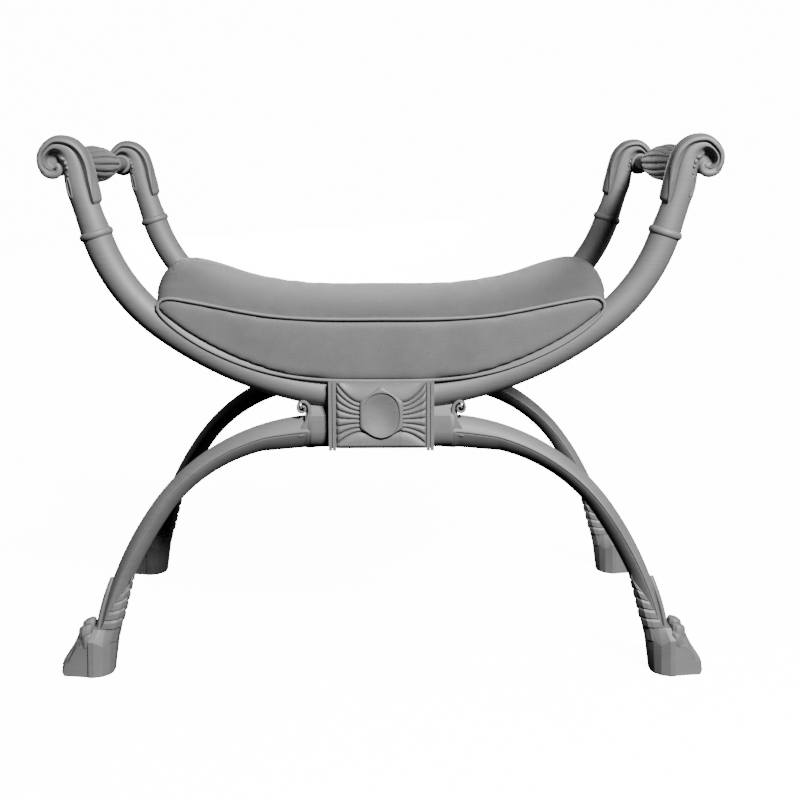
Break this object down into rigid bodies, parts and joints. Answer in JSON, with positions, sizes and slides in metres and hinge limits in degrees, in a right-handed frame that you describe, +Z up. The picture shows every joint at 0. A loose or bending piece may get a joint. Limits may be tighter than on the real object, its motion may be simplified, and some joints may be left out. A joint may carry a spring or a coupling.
{
  "type": "curule stool",
  "caption": "Rigid curule stool with U-shaped rails, outward scroll arms joined by gadrooned grip bars, arched legs on paw feet and a loose saddle cushion.",
  "frame": {"origin": "on the floor, under the middle of the stool", "axes": "+Z up, +X to the right seen from the front, +Y from front to rear"},
  "size_m": [0.8518, 0.529, 0.6881],
  "materials": {
    "frame_paint": "satin grey paint on smooth beech",
    "carved_paint": "satin grey paint on carved beech, rubbed on the high edges",
    "plain_beech": "bare planed beech",
    "cover_leather": "matt grey leather, fine grain",
    "pad_filling": "hair and wadding"
  },
  "bodies": {
    "frame": {"arm_dowels": "plain_beech", "centre_stretcher": "frame_paint", "front_block": "frame_paint", "front_left_collar": "frame_paint", "front_left_leg": "frame_paint", "front_left_paw_foot": "carved_paint", "front_left_scroll_arm": "carved_paint", "front_medallion": "carved_paint", "front_rail": "frame_paint", "front_right_collar": "frame_paint", "front_right_leg": "frame_paint", "front_right_paw_foot": "carved_paint", "front_right_scroll_arm": "carved_paint", "front_tablet": "carved_paint", "left_grip_bar": "carved_paint", "rear_block": "frame_paint", "rear_left_collar": "frame_paint", "rear_left_leg": "frame_paint", "rear_left_paw_foot": "carved_paint", "rear_left_scroll_arm": "carved_paint", "rear_medallion": "carved_paint", "rear_rail": "frame_paint", "rear_right_collar": "frame_paint", "rear_right_leg": "frame_paint", "rear_right_paw_foot": "carved_paint", "rear_right_scroll_arm": "carved_paint", "rear_tablet": "carved_paint", "right_grip_bar": "carved_paint", "seat_slat_1": "plain_beech", "seat_slat_2": "plain_beech", "seat_slat_3": "plain_beech", "seat_slat_4": "plain_beech", "seat_slat_5": "plain_beech", "seat_slat_6": "plain_beech", "seat_slat_7": "plain_beech", "seat_slat_8": "plain_beech", "seat_slat_9": "plain_beech"},
    "cushion": {"cushion_cover": "cover_leather", "cushion_pad": "pad_filling"}
  },
  "joints": [
    {"name": "cushion_lift", "type": "slide", "parent": "frame", "child": "cushion", "axis": [0, 0, 1], "range_m": [0, 0.15]}
  ]
}
